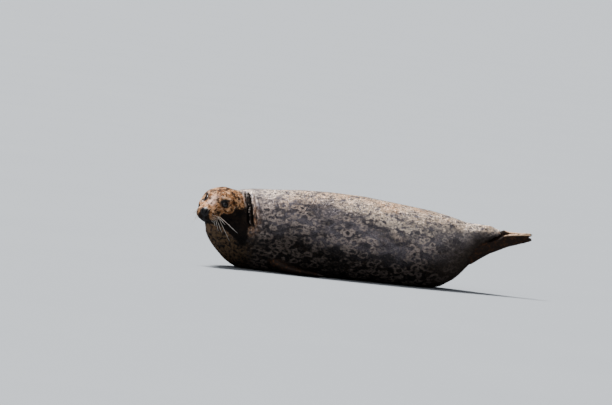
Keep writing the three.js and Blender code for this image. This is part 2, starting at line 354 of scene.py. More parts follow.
@dataclass(frozen=True)
class BodyMap:
    """Tells, for any place on the skin, which marks it carries and how the hair lies there."""

    follicles: np.ndarray
    feet: dict
    neck_folds: tuple = ((-0.006, 0.012), (0.014, 0.010), (0.030, 0.004))  # place and depth of each

    def head_share(self, points: np.ndarray) -> np.ndarray:
        """1 on the head, 0 behind the folds of the neck.

        Args:
            points: Places on the skin.

        Returns:
            Numbers from 0 to 1.
        """
        local = AXES.inward(points)
        forward = local @ np.array(NAPE)
        return fade(forward, -0.105, -0.062) * fade(points[:, 2], 0.13, 0.2)

    def across_neck(self, points: np.ndarray) -> tuple[np.ndarray, np.ndarray]:
        """Measures places across the folds on the left of the neck.

        Args:
            points: Places on the skin.

        Returns:
            The distance behind the middle fold, and 1 where the folds run, 0 away from them.
        """
        across = (points - [-0.462, 0.0, 0.262]) @ np.array([0.974, 0.0, 0.227])
        across += 0.0022 * np.sin(points[:, 2] * 62) + 0.0012 * np.sin(points[:, 2] * 151)
        near = fade(points[:, 1], -0.045, -0.10) * fade(points[:, 2], 0.17, 0.22)
        return across, near * fade(np.abs(across), 0.05, 0.03)

    def folds(self, points: np.ndarray) -> np.ndarray:
        """Works out how far the folds of the neck raise each place on the skin.

        Args:
            points: Places on the skin.

        Returns:
            The rise of each, in metres.
        """
        across, near = self.across_neck(points)
        raised = sum(
            0.4 * depth * swell(across - place - 0.0085, 0.005) - depth * swell(across - place, 0.0042)
            for place, depth in self.neck_folds
        )
        return (raised + 0.003 * swell(across + 0.016, 0.006)) * near

    def lie(self, points: np.ndarray, normals: np.ndarray) -> np.ndarray:
        """Gives the direction of the hair, along the skin.

        Args:
            points: Places on the skin.
            normals: The directions that the skin faces there.

        Returns:
            Rows of unit directions from root to tip.
        """
        local = AXES.inward(points)
        share = fade(local[:, 0], -0.13, -0.02)[:, None]
        from_nose = local - np.array([0.1, 0.0, -0.02])
        back = AXES.direction(unit(from_nose) * 0.6 + np.array([-0.6, 0.0, -0.15]))
        fall = 0.22 * np.sign(points[:, 1:2]) * np.array([0.0, 1.0, 0.0])
        flow = share * back + (1 - share) * (np.array([1.0, 0.0, -0.16]) + fall)
        flat = flow - (flow * normals).sum(1, keepdims=True) * normals
        return unit(flat)

    def from_follicles(self, local: np.ndarray) -> np.ndarray:
        """Measures places on the front of the head from the nearest whisker root.

        Args:
            local: Places along the head's axes.

        Returns:
            The distances, without end behind the whisker pads.
        """
        distance = np.full(len(local), np.inf)
        close = local[:, 0] > PADS_START
        if close.any():
            gaps = np.linalg.norm(local[close][:, None, :] - self.follicles[None, :, :], axis=2)
            distance[close] = gaps.min(1)
        return distance

    def foot_share(self, points: np.ndarray) -> np.ndarray:
        """1 on the flippers, fading to 0 where they leave the body.

        Args:
            points: Places on the skin.

        Returns:
            Numbers from 0 to 1.
        """
        foot = np.zeros(len(points))
        for name, tree in self.feet.items():
            low, high = (np.array(corner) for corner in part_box(name))
            inside = np.all((points > low - 0.006) & (points < high + 0.006), axis=1)
            for index in np.flatnonzero(inside):
                distance = tree.find_nearest(points[index])[3]
                if distance is not None:
                    foot[index] = max(foot[index], float(fade(np.array(distance), 0.012, 0.005)))
        return foot

    def face_marks(self, local: np.ndarray) -> dict[str, np.ndarray]:
        """Works out the marks of the face.

        Args:
            local: Places along the head's axes.

        Returns:
            Numbers from 0 to 1 for the nose and lips, the lids, the dark muzzle with painted shade under the
            chin, its bridge and the spots.
        """
        ahead, left, up = local.T
        nose = fade(np.linalg.norm((local - NOSE) / NOSE_RADII, axis=1), 1.25, 0.9)
        line = np.abs(above_mouth(local))
        lips = swell(line, 0.0035) * fade(ahead, 0.015, 0.035)
        philtrum = swell(left, 0.005) * fade(ahead, 0.07, 0.08) * fade(up, -0.02, -0.03)

        # The lower front of the muzzle is dark coat.
        reach = 0.030 + 0.4 * np.clip(-0.03 - up, 0, 0.05)
        front = fade(np.abs(left), reach, reach - 0.012) * fade(ahead, 0.045, 0.06)
        front *= fade(up, 0.002, -0.022)
        # Painted shade under the mouth, on the chin.
        chin = fade(line, 0.03, 0.012) * fade(up, -0.052, -0.06) * fade(ahead, 0.02, 0.05)
        bridge = fade(np.abs(left), 0.028, 0.010) * fade(up, -0.014, 0.0) * fade(ahead, 0.0, 0.03)
        bridge *= fade(ahead, 0.066, 0.054)

        rim = np.zeros(len(local))
        for socket in SOCKETS:
            distance, angle, edge = socket.polar(local)
            rim = np.maximum(rim, fade(distance, 0.036, 0.028) * fade(angle - edge, 22, 6))

        spots = swell(self.from_follicles(local), 0.0021)
        for spot in (BROW_SPOT, EAR_SPOT, FROWN_SPOT):
            for side in SIDES.values():
                away = np.linalg.norm(local - [spot.ahead, side * spot.out, spot.height], axis=1)
                spots += swell(away, spot.width)
        return {
            "wet": np.clip(nose + 0.8 * lips + philtrum, 0, 1),
            "rim": np.clip(rim, 0, 1),
            "dark_muzzle_and_chin_shade": np.clip(front + chin, 0, 1),
            "bridge": bridge,
            "spot": np.clip(spots, 0, 1),
        }

    def neck_marks(self, points: np.ndarray, local: np.ndarray) -> dict[str, np.ndarray]:
        """Works out the marks of the cheek, the throat and the folds of the neck, painted shade and
        highlights among them.

        Args:
            points: Places on the skin.
            local: The same places along the head's axes.

        Returns:
            Numbers from 0 to 1 for the painted shade in the fold, the painted highlights on the fold ridges,
            the dark coat with painted shadow under the cheek, and the brown throat.
        """
        ahead, left, up = local.T
        along_body, across_body, height = points.T
        # Under the cheek the coat is dark, and painted shadow of the cheek falls over the neck.
        under_cheek = fade(up + 0.012 + 0.44 * ahead + 0.004 * np.sin(ahead * 130), 0.004, -0.012)
        jowl_dark_and_shadow = under_cheek * fade(ahead, 0.062, 0.040) * fade(np.abs(left), 0.010, 0.035)
        jowl_dark_and_shadow *= fade(height, 0.165, 0.20) * fade(along_body, -0.452, -0.470)
        jowl_dark_and_shadow *= fade(ahead, -0.135, -0.045)
        # The dark coat and the painted shadow run on down the neck towards the chest.
        slant = along_body + 0.08 * np.clip((height - 0.13) / 0.06, 0, 1)
        collar = fade(slant, -0.525, -0.490) * fade(along_body, -0.445, -0.475)
        collar *= fade(height, 0.08, 0.14) * under_cheek * fade(across_body, -0.03, -0.09)

        across, near = self.across_neck(points)
        # Painted shade along the middle fold of the neck.
        crease_shade = fade(np.abs(across - 0.001), 0.017, 0.011) * near
        beads = fade(np.sin(height * 380 + 4 * np.sin(height * 71)), 0.35, 0.9)
        # Painted highlights where the ridges beside the folds catch the light, beaded along the middle one.
        edge = swell(across + 0.0175, 0.0025) * fade(height, 0.27, 0.29)
        edge = (edge + swell(across + 0.002, 0.0022) * beads) * near
        return {
            "crease_shade": np.clip(crease_shade, 0, 1),
            "edge": np.clip(edge, 0, 1),
            "jowl_dark_and_shadow": np.maximum(jowl_dark_and_shadow, collar),
            "throat": fade(along_body, -0.40, -0.56) * fade(height, 0.28, 0.18),
        }

    def body_marks(self, points: np.ndarray, foot: np.ndarray) -> dict[str, np.ndarray]:
        """Works out where the body is pale or dark, with painted light on the back and painted shade low
        down.

        Args:
            points: Places on the skin.
            foot: The foot mark there.

        Returns:
            Numbers from 0 to 1 for the back, the painted highlight on its top, the painted shade low on the
            body, the hind fins' edges and the rump.
        """
        along_body, across_body, height = points.T
        # lobe and dip spread the painted shade of the lower body under the tail's edge and towards the
        # chest.
        lobe = 0.07 * fade(along_body, 0.46, 0.60) * fade(height, 0.292, 0.262)
        dip = 0.045 * fade(along_body, -0.10, -0.32) + 2 * lobe
        shade = 0.055 * fade(along_body, 0.10, -0.20)
        rear = 0.1 + 0.75 * fade(along_body, -0.25, 0.15)
        hump = 0.005 + 0.026 * swell(along_body - 0.664, 0.038)
        ridge = 0.269 + 0.13 * (along_body - 0.684) + hump * (across_body > 0)
        return {
            # The back mark gives the back its lit tones, painted light, and crowds its pattern.
            "back": fade(height + 0.06 * fade(along_body, -0.05, 0.3) - lobe - shade, 0.20, 0.36),
            # Painted highlight along the top of the back, stronger towards the rear.
            "top_highlight": fade(height + 0.03 * fade(along_body, 0.1, 0.4), 0.26, 0.36) * rear,
            # Painted shade: dark low on the body, as if out of the light.
            "belly_shade": fade(height + 0.02 * np.sin(along_body * 9) - dip, 0.225, 0.08),
            "fin": foot * fade(along_body, 0.6, 0.66) * fade(height - ridge, -0.006, 0.001),
            "rump": fade(along_body, 0.30, 0.50),
        }

    def marks(self, points: np.ndarray) -> dict[str, np.ndarray]:
        """Works out the marks that both skin and hair carry.

        Args:
            points: Places on the skin.

        Returns:
            Numbers from 0 to 1 by name, for the coat's finish.
        """
        local = AXES.inward(points)
        foot = self.foot_share(points)
        return {
            "head": self.head_share(points),
            "foot": foot,
            **self.face_marks(local),
            **self.neck_marks(points, local),
            **self.body_marks(points, foot),
        }

    def region(self, points: np.ndarray, foot: np.ndarray) -> np.ndarray:
        """Sorts places on the skin into the parts of the body.

        Args:
            points: Places on the skin.
            foot: The foot mark there.

        Returns:
            The name of a Region for each place.
        """
        left = points[:, 1] < 0
        names = np.where(left, Region.FLANK_LEFT.value, Region.FLANK_RIGHT.value).astype("U12")
        names[points[:, 2] > 0.30] = Region.BACK.value
        names[points[:, 0] > 0.36] = Region.RUMP.value
        names[points[:, 0] < -0.36] = Region.NECK.value
        names[self.head_share(points) > 0.35] = Region.FACE.value
        names[(foot > 0.5) & (points[:, 0] < 0.2)] = Region.FORE_FEET.value
        names[(foot > 0.5) & (points[:, 0] > 0.2)] = Region.HIND_FEET.value
        return names


# ---------------------------------------------------------------- shader maths


@dataclass(frozen=True)
class Signal:
    """A number that a shader socket carries; sums on it add Math nodes."""

    finish: "Finish"
    socket: NodeSocket

    def sum_with(self, operation: str, *others: Any, clamp: bool = False) -> "Signal":
        """Adds one Math node.

        Args:
            operation: The node's operation.
            others: Its further inputs, numbers or signals.
            clamp: Whether the result is kept from 0 to 1.

        Returns:
            The result.
        """
        values = {index: other for index, other in enumerate((self, *others))}
        settings = {"operation": operation, "use_clamp": clamp}
        return self.finish.signal("ShaderNodeMath", settings, values)

    def __add__(self, other: Any) -> "Signal":
        """Adds."""
        return self.sum_with("ADD", other)

    __radd__ = __add__

    def __mul__(self, other: Any) -> "Signal":
        """Multiplies."""
        return self.sum_with("MULTIPLY", other)

    __rmul__ = __mul__

    def __sub__(self, other: Any) -> "Signal":
        """Takes other away."""
        return self.sum_with("SUBTRACT", other)

    def __rsub__(self, other: Any) -> "Signal":
        """Takes this away from other."""
        return (self * -1.0).sum_with("ADD", other)

    def step(self, start: float, end: float) -> "Signal":
        """Turns the number into a smooth step that is 0 at start and 1 at end.

        Args:
            start: Where the step is 0; it may lie above end.
            end: Where the step is 1.

        Returns:
            The step.
        """
        settings = {"interpolation_type": "SMOOTHSTEP"}
        low, high, first, last = (start, end, 0.0, 1.0) if start < end else (end, start, 1.0, 0.0)
        values = {0: self, 1: low, 2: high, 3: first, 4: last}
        return self.finish.signal("ShaderNodeMapRange", settings, values)

    def most(self, other: Any) -> "Signal":
        """Takes the larger of two numbers."""
        return self.sum_with("MAXIMUM", other)

    def clamp(self) -> "Signal":
        """Keeps the number from 0 to 1."""
        return self.sum_with("ADD", 0.0, clamp=True)


class Finish:
    """A material under construction."""

    def __init__(self, name: str) -> None:
        """Starts an empty material with its shader and output.

        Args:
            name: The material's name.
        """
        self.material = bpy.data.materials.new(name)
        self.material.use_nodes = True
        self.tree = self.material.node_tree
        self.shader = self.tree.nodes["Principled BSDF"]

    def node(self, kind: str, settings: dict, values: dict) -> Node:
        """Adds a node.

        Args:
            kind: The node's type.
            settings: Its properties.
            values: What goes into its sockets, by name or number.

        Returns:
            The node.
        """
        made = self.tree.nodes.new(kind)
        for name, value in settings.items():
            setattr(made, name, value)
        for key, value in values.items():
            self.feed(made.inputs[key], value)
        return made

    def feed(self, socket: NodeSocket, value: Any) -> None:
        """Sets a socket or links something to it.

        Args:
            socket: The socket.
            value: A number, a colour, a signal or another socket.
        """
        if isinstance(value, Signal):
            value = value.socket
        if isinstance(value, NodeSocket):
            self.tree.links.new(value, socket)
        elif isinstance(value, tuple) and len(value) == 3 and socket.type == "RGBA":
            socket.default_value = (*value, 1.0)
        else:
            socket.default_value = value

    def signal(self, kind: str, settings: dict, values: dict, out: int = 0) -> Signal:
        """Adds a node and hands back one of its outputs as a number."""
        return Signal(self, self.node(kind, settings, values).outputs[out])

    def mark(self, name: str) -> Signal:
        """Reads one of the numbers kept on the mesh."""
        return self.signal("ShaderNodeAttribute", {"attribute_name": name}, {}, 2)

    def place(self, scale: tuple = (1.0, 1.0, 1.0), wander: float = 0.0, spread: float = 20.0) -> NodeSocket:
        """Gives places on the piece, stretched and shaken.

        Args:
            scale: How much each axis is scaled.
            wander: How far the places are shaken, in metres before scaling.
            spread: How many shakes fit in a metre.

        Returns:
            The vector socket.
        """
        base = self.node("ShaderNodeTexCoord", {}, {}).outputs["Object"]
        if wander:
            noise = self.node("ShaderNodeTexNoise", {}, {"Vector": base, "Scale": spread, "Detail": 2.0})
            shaken = self.node(
                "ShaderNodeVectorMath",
                {"operation": "MULTIPLY_ADD"},
                {0: noise.outputs["Color"], 1: (wander * 2,) * 3, 2: base},
            )
            base = shaken.outputs[0]
        return self.node("ShaderNodeMapping", {}, {"Vector": base, "Scale": scale}).outputs[0]

    def noise(self, place: NodeSocket, scale: float, detail: float = 3.0, rough: float = 0.55) -> Signal:
        """Gives soft noise of that many grains to the metre."""
        values = {"Vector": place, "Scale": scale, "Detail": detail, "Roughness": rough}
        return self.signal("ShaderNodeTexNoise", {}, values)

    def cells(self, place: NodeSocket, scale: float, feature: str = "F1") -> Node:
        """Gives a Voronoi node of that many cells to the metre."""
        return self.node("ShaderNodeTexVoronoi", {"feature": feature}, {"Vector": place, "Scale": scale})

    def mix(self, share: Any, first: Any, second: Any) -> NodeSocket:
        """Mixes two colours.

        Args:
            share: How much of the second is in the mix.
            first: A colour or a socket.
            second: A colour or a socket.

        Returns:
            The mixed colour's socket.
        """
        values = {"Factor": share, 6: first, 7: second}
        return self.node("ShaderNodeMix", {"data_type": "RGBA"}, values).outputs[2]

    def bump(self, height: Signal, depth: float, strength: float = 1.0) -> None:
        """Feeds a bump to the shader.

        Args:
            height: The relief, from 0 to 1.
            depth: Its depth in metres.
            strength: How much of it shows.
        """
        values = {"Height": height, "Distance": depth, "Strength": strength}
        self.feed(self.shader.inputs["Normal"], self.node("ShaderNodeBump", {}, values).outputs[0])

    def dress(self, **values: Any) -> Material:
        """Fills the shader's sockets, with _ for spaces in their names, and gives the material."""
        for name, value in values.items():
            self.feed(self.shader.inputs[name.replace("_", " ")], value)
        return self.material


# ---------------------------------------------------------------- finishes


@dataclass(frozen=True)
class CoatFinish:
    """The seal's coat: charcoal ground under pale broken rings, a russet head and black lips and lids, with
    painted light on the back and painted shade low on the body, in the neck's fold and under the cheek.
    """

    # ground is the near black that shows most where the lower body is in painted shade.
    ground: tuple = (0.007, 0.006, 0.006)
    slate: tuple = (0.235, 0.207, 0.225)
    # ash and cream are the back's ground and rings as they look lit, painted light; sand is the rings in
    # shade.
    ash: tuple = (0.23, 0.205, 0.215)
    cream: tuple = (0.93, 0.78, 0.64)
    # sand also paints the highlights on the neck's fold ridges.
    sand: tuple = (0.56, 0.455, 0.40)
    # dun: the rump's own brown, and the rings low on the body in painted shade.
    dun: tuple = (0.075, 0.055, 0.042)
    gold: tuple = (0.84, 0.58, 0.38)
    tan: tuple = (0.54, 0.29, 0.14)
    russet: tuple = (0.22, 0.085, 0.026)
    umber: tuple = (0.022, 0.010, 0.005)
    rust: tuple = (0.140, 0.088, 0.048)
    pink: tuple = (0.62, 0.45, 0.38)
    sole: tuple = (0.020, 0.013, 0.010)
    black: tuple = (0.004, 0.003, 0.003)
    rings: float = 35.0  # cells to the metre, as for the next two
    nets: float = 29.0
    specks: float = 80.0
    skin_relief: float = 0.0012
    hair_relief: float = 0.0003

    def make(self, name: str, relief: float) -> Material:
        """Builds the material.

        Args:
            name: Its name.
            relief: How deep the lie of the short hair shows as bump, in metres.

        Returns:
            The material.
        """
        coat = Finish(name)
        mottle = coat.noise(coat.place(wander=0.004, spread=90.0), 80.0, 4.0, 0.62)
        hue = coat.mix(coat.mark("head"), self.body(coat), self.face(coat, mottle))
        throat = coat.mix(mottle.step(0.42, 0.56), self.black, self.rust)
        hue = coat.mix((coat.mark("throat") * 0.8 + (mottle - 0.5) * 0.8).clamp(), hue, throat)
        ragged = (mottle - 0.5) * 1.6
        # Black under the cheek: dark coat with painted shadow of the cheek.
        hue = coat.mix((coat.mark("jowl_dark_and_shadow") + ragged).step(0.32, 0.62) * 0.97, hue, self.black)
        # Black on the muzzle: dark coat in front and painted shade on the chin.
        hue = coat.mix((coat.mark("dark_muzzle_and_chin_shade") + ragged).step(0.34, 0.90) * 0.95, hue, self.black)
        # Black painted shade in the neck's fold.
        hue = coat.mix((coat.mark("crease_shade") + ragged * 0.8).step(0.40, 0.65) * 0.95, hue, self.black)
        # Painted highlight on the fold ridges, in sand.
        hue = coat.mix(coat.mark("edge") * 0.55, hue, self.sand)
        paw = coat.mix(mottle.step(0.50, 0.70) * 0.3, self.sole, self.russet)
        hue = coat.mix(coat.mark("foot"), hue, paw)
        hue = coat.mix(coat.mark("fin") * mottle.step(0.30, 0.50), hue, self.gold)
        hue = coat.mix(coat.mark("spot") * 0.85, hue, self.umber)
        bare = coat.mark("wet").most(coat.mark("rim"))
        hue = coat.mix(bare, hue, self.black)

        strand = coat.noise(coat.place((0.16, 1.0, 1.0), wander=0.003, spread=40.0), 900.0, 2.0)
        clump = coat.noise(coat.place((0.35, 1.0, 1.0)), 150.0, 3.0)
        coat.bump((strand * 0.5 + clump * 0.6) * (1.0 - bare * 0.8), relief)
        return coat.dress(
            Base_Color=hue,
            Roughness=0.60 - bare * 0.16 + strand * 0.1,
            Coat_Weight=bare * 0.3,
            Coat_Roughness=0.42,
            Specular_IOR_Level=0.08,
        )

    def body(self, coat: Finish) -> NodeSocket:
        """Builds the colour of the body: rings, nets and specks over the ground, with painted light on the
        back and painted shade low down.

        Args:
            coat: The material.

        Returns:
            The colour's socket.
        """
        back, belly_shade, rump = coat.mark("back"), coat.mark("belly_shade"), coat.mark("rump")
        shaken = coat.place((0.70, 1.0, 1.0), wander=0.011, spread=42.0)
        cell = coat.cells(shaken, self.rings)
        radius = Signal(coat, cell.outputs["Distance"])
        own = coat.signal("ShaderNodeSeparateColor", {}, {0: cell.outputs["Color"]})
        ring = (radius - (0.32 + own * 0.16)).sum_with("ABSOLUTE").step(0.20, 0.09)
        net = Signal(coat, coat.cells(shaken, self.nets, "DISTANCE_TO_EDGE").outputs["Distance"])
        fine = coat.cells(coat.place((0.8, 1.0, 1.0), wander=0.006, spread=80.0), self.specks)
        speck = Signal(coat, fine.outputs["Distance"]).step(0.46, 0.26)
        crowd = coat.noise(coat.place((0.6, 1.0, 1.0)), 9.0, 5.0, 0.6)
        broken = coat.noise(shaken, 95.0, 3.0, 0.6).step(0.38, 0.52)
        fleck = coat.noise(coat.place(), 45.0, 4.0).step(0.46, 0.60)
        many = (crowd + back * 0.06).step(0.40, 0.56)
        pale = ring * broken * (0.2 + many * 0.8) + net.step(0.11, 0.03) * broken * many * back * 0.8
        # Noise that breaks up the painted highlight on the top of the back.
        highlight_breakup = coat.noise(coat.place((0.5, 1.0, 1.0), wander=0.006, spread=60.0), 36.0, 5.0, 0.65)
        pale = pale + speck * fleck * (0.35 + back * 0.35)
        # Painted highlight: the top of the back turns pale.
        pale = (pale + coat.mark("top_highlight") * highlight_breakup.step(0.43, 0.57) * 0.9).clamp()
        # Painted shade: fewer pale rings low on the body.
        pale = pale * (1.0 - belly_shade * 0.45) * (1.0 - rump * (1.0 - back) * 0.5)

        drift = coat.noise(coat.place((0.40, 1.0, 1.0)), 22.0, 5.0, 0.6)
        # Painted shade: the ground stays near black low on the body.
        ground = coat.mix((1.0 - belly_shade) * (0.35 + drift.step(0.40, 0.62) * 0.65), self.ground, self.slate)
        # Painted light: the ground takes its lit tone on the back.
        ground = coat.mix(back * (0.45 + drift.step(0.36, 0.60) * 0.55), ground, self.ash)
        ground = coat.mix(rump * (1.0 - back) * 0.5, ground, self.dun)
        # Painted light: the rings are sand in shade and cream where the back is lit.
        ring_colour = coat.mix((drift * 0.4 + back * 0.6).step(0.30, 0.72), self.sand, self.cream)
        # Painted sunlight: the rings turn golden on the lit back and along its top.
        sunlit = coat.noise(coat.place((0.5, 1.0, 1.0)), 6.0, 3.0).step(0.46, 0.60) * back
        sunlit = (sunlit * 0.75 + coat.mark("top_highlight") * 0.35).clamp()
        ring_colour = coat.mix(sunlit, ring_colour, self.gold)
        # Painted shade: the rings turn dull brown low on the body.
        ring_colour = coat.mix(belly_shade * 0.75, ring_colour, self.dun)
        return coat.mix(pale, ground, ring_colour)

    def face(self, coat: Finish, mottle: Signal) -> NodeSocket:
        """Builds the colour of the head: tan and russet under dark mottling.

        Args:
            coat: The material.
            mottle: The small mottling.

        Returns:
            The colour's socket.
        """
        cloud = coat.noise(coat.place(wander=0.006, spread=50.0), 38.0, 4.0, 0.6)
        warm = coat.mix(cloud.step(0.40, 0.60), self.russet, self.tan)
        pale = coat.noise(coat.place(wander=0.005, spread=70.0), 70.0, 4.0, 0.65)
        warm = coat.mix(pale.step(0.52, 0.66) * 0.75, warm, self.gold)
        dark = coat.noise(coat.place(wander=0.006, spread=80.0), 42.0, 5.0, 0.65)
        warm = coat.mix((dark + coat.mark("back") * 0.075).step(0.50, 0.60) * 0.92, warm, self.umber)
        warm = coat.mix(coat.mark("bridge") * (0.35 + cloud * 0.5), warm, self.pink)
        return coat.mix(mottle.step(0.48, 0.38) * 0.92, warm, self.umber)


@dataclass(frozen=True)
class EyeFinish:
    """A wet eye: black pupil, dark brown iris and a clear film over all."""

    iris: tuple = (0.020, 0.010, 0.006)
    pupil: tuple = (0.002, 0.002, 0.002)
    white: tuple = (0.05, 0.035, 0.03)

    def make(self) -> Material:
        """Builds the material.

        Returns:
            The material.
        """
        eye = Finish("wet_eye")
        angle = eye.mark("look")
        grain = eye.noise(eye.place(), 900.0, 2.0)
        iris = eye.mix(grain.step(0.3, 0.7), self.pupil, self.iris)
        hue = eye.mix(angle.step(0.33, 0.30), iris, self.pupil)
        hue = eye.mix(angle.step(0.86, 1.0), hue, self.white)
        eye.bump(grain, 0.00002, 0.3)
        return eye.dress(Base_Color=hue, Roughness=0.06, Specular_IOR_Level=0.32)


@dataclass(frozen=True)
class HornFinish:
    """Claw horn, near black with paler worn tips."""

    dark: tuple = (0.022, 0.016, 0.013)
    worn: tuple = (0.11, 0.075, 0.05)

    def make(self) -> Material:
        """Builds the material.

        Returns:
            The material.
        """
        horn = Finish("claw_horn")
        streak = horn.noise(horn.place((0.15, 1.0, 1.0)), 700.0, 3.0)
        hue = horn.mix(streak.step(0.45, 0.75), self.dark, self.worn)
        horn.bump(streak, 0.0003)
        return horn.dress(Base_Color=hue, Roughness=0.32 + streak * 0.2, Specular_IOR_Level=0.5)


@dataclass(frozen=True)
class WhiskerFinish:
    """Whisker horn, off white and a little translucent at the edges."""

    pale: tuple = (0.86, 0.82, 0.76)
    amber: tuple = (0.30, 0.19, 0.10)

    def make(self) -> Material:
        """Builds the material.

        Returns:
            The material.
        """
        hair = Finish("whisker_horn")
        root = hair.mark("root")
        streak = hair.noise(hair.place(), 400.0, 2.0)
        hue = hair.mix((root * root * 0.9 + streak * 0.2).clamp(), self.pale, self.amber)
        hair.bump(streak, 0.0001)
        return hair.dress(Base_Color=hue, Roughness=0.3 + streak * 0.1, Specular_IOR_Level=0.55)


@dataclass(frozen=True)
class FloorFinish:
    """The floor, pale, matt and very slightly uneven in tone."""

    pale: tuple = (0.138, 0.148, 0.159)
    light: tuple = (0.150, 0.160, 0.171)

    def make(self) -> Material:
        """Builds the material.

        Returns:
            The material.
        """
        floor = Finish("studio_floor")
        cloud = floor.noise(floor.place(), 0.7, 2.0)
        return floor.dress(Base_Color=floor.mix(cloud, self.pale, self.light), Roughness=0.85)


# ---------------------------------------------------------------- the skin


@dataclass
class Hide:
    """The one skin over all the flesh, with lids, nostrils, lips, folds and toes."""

    flesh: tuple = (
        "head",
        "muzzle",
        "nose_pad",
        "lower_jaw",
        "neck",
        "chest",
        "trunk",
        "rump",
        "tail",
        "fore_flipper_left",
        "fore_flipper_right",
        "hind_flipper_left",
        "hind_flipper_right",
    )
    voxel: float = 0.003
    coat_depth: float = 0.0034
    face_depth: float = 0.0012
    budget: int = 88000
    lid_thickness: float = 0.0032
    lid_margin: float = 0.0005  # how far the ring of the lids lies outside the opening
    lid_angle: float = 50.0  # degrees from the gaze at which that ring sits
    lid_gap: float = 0.0011  # room between the eyeball and its lids
    lid_swell: float = 0.0016
    hidden_depth: float = 0.0035  # how far the skin draws back behind the eyeball's front
    lid_reach: float = 0.034  # how far from an eyeball's centre its lids are shaped
    lid_snap: float = 5.0  # degrees from the opening's edge in which the skin is drawn together

    def raw(self) -> Object:
        """Joins copies of the solids with the eyeballs and rings for the lids.

        Returns:
            One object of many closed shells.
        """
        copies = []
        for name in self.flesh:
            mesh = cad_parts[name].data.copy()
            copy = bpy.data.objects.new(f"copy_{name}", mesh)
            bpy.context.collection.objects.link(copy)
            copies.append(copy)
        for socket in SOCKETS:
            copies += self.eye_shells(socket)
        bpy.ops.object.select_all(action="DESELECT")
        for copy in copies:
            copy.select_set(True)
        bpy.context.view_layer.objects.active = copies[0]
        bpy.ops.object.join()
        skin = copies[0]
        skin.name = "skin"
        with editing():
            bpy.ops.mesh.select_all(action="SELECT")
            bpy.ops.mesh.remove_doubles(threshold=0.00001)
        return skin

    def eye_shells(self, socket: Socket) -> list[Object]:
        """Makes a ball and a ring that fill one socket and give it lids.

        Args:
            socket: The socket.

        Returns:
            The two objects, with their places in their meshes.
        """
        rows = AXES.direction(socket.rows)
        centre = AXES.outward(socket.centre)
        turn = Matrix(rows.T.tolist()).to_4x4()
        bpy.ops.mesh.primitive_uv_sphere_add(segments=40, ring_count=24, radius=socket.radius)
        ball = bpy.context.object
        ball.data.transform(Matrix.Translation(centre) @ turn)
        wide = socket.radius * sin(radians(socket.half_width)) + self.lid_margin
        high = socket.radius * sin(radians(socket.half_height)) + self.lid_margin
        bpy.ops.mesh.primitive_torus_add(
            major_segments=64, minor_segments=14, major_radius=1.0, minor_radius=self.lid_thickness / high
        )
        ring = bpy.context.object
        ahead = socket.radius * cos(radians(self.lid_angle))
        size = Matrix.Diagonal((high, wide, high, 1.0))
        upright = Matrix(((0, 0, 1, 0), (0, 1, 0, 0), (-1, 0, 0, 0), (0, 0, 0, 1)))
        lay = Matrix.Translation(centre) @ turn @ Matrix.Translation((ahead, 0, 0)) @ upright @ size
        ring.data.transform(lay)
        return [ball, ring]

    def build(self, finish: Material, body: BodyMap) -> Object:
        """Makes the skin.

        Args:
            finish: Its material.
            body: Where things are on the body.

        Returns:
            The skin.
        """
        skin = self.raw()
        finish_with(skin, "REMESH", mode="VOXEL", voxel_size=self.voxel)
        LOG.info("remeshed: %d faces", len(skin.data.polygons))
        finish_with(skin, "SMOOTH", factor=0.5, iterations=6)
        points = places(skin.data)
        head = body.head_share(points)
        foot = body.foot_share(points)
        depth = self.coat_depth + (self.face_depth - self.coat_depth) * np.maximum(head, foot)
        put(skin.data, points - facing(skin.data) * depth[:, None])
        self.thin(skin, points, head, foot)
        self.refine(skin, body)
        self.shape(skin, body)
        for name, values in body.marks(places(skin.data)).items():
            mark(skin.data, name, values)
        choose(skin)
        bpy.ops.object.shade_smooth()
        return keep(skin, finish, "coat", *self.flesh)

    def thin(self, skin: Object, points: np.ndarray, head: np.ndarray, foot: np.ndarray) -> None:
        """Takes faces out of the plain body and leaves the head, folds and feet fine.

        Args:
            skin: The skin.
            points: Its places.
            head: The head mark of each.
            foot: The foot mark of each.
        """
        fold = fade(points[:, 0], -0.38, -0.43)
        weight = np.clip(1 - np.maximum(np.maximum(head, foot) * 2, fold * 0.7), 0, 1)
        group = skin.vertex_groups.new(name="plain")
        for level in np.unique(np.round(weight, 1)):
            members = np.flatnonzero(np.round(weight, 1) == level)
            group.add(members.tolist(), float(level), "REPLACE")
        ratio = self.budget / (2 * len(skin.data.polygons))
        finish_with(skin, "DECIMATE", ratio=ratio, vertex_group="plain", vertex_group_factor=1.0)
        LOG.info("thinned: %d faces", len(skin.data.polygons))

    def refine(self, skin: Object, body: BodyMap) -> None:
        """Divides the faces of the head once more.

        Args:
            skin: The skin.
            body: Where things are on the body.
        """
        mesh = skin.data
        centres = read(mesh.polygons, "center")
        chosen = (body.head_share(centres) > 0.6) & (AXES.inward(centres)[:, 0] > -0.055)
        choose(skin)
        with editing():
            bpy.ops.mesh.select_all(action="DESELECT")
        mesh.polygons.foreach_set("select", chosen)
        with editing():
            bpy.ops.mesh.select_mode(type="FACE")
            bpy.ops.mesh.subdivide(number_cuts=1)
            bpy.ops.mesh.vertices_smooth(factor=0.5, repeat=3)
        LOG.info("refined: %d faces", len(mesh.polygons))

    def shape(self, skin: Object, body: BodyMap) -> None:
        """Gives the skin its folds, lids, nostrils, lips and toes.

        Args:
            skin: The skin.
            body: Where things are on the body.
        """
        points = places(skin.data)
        normals = facing(skin.data)
        local = AXES.inward(points)
        ahead, left, up = local.T
        lift = np.zeros(len(points))

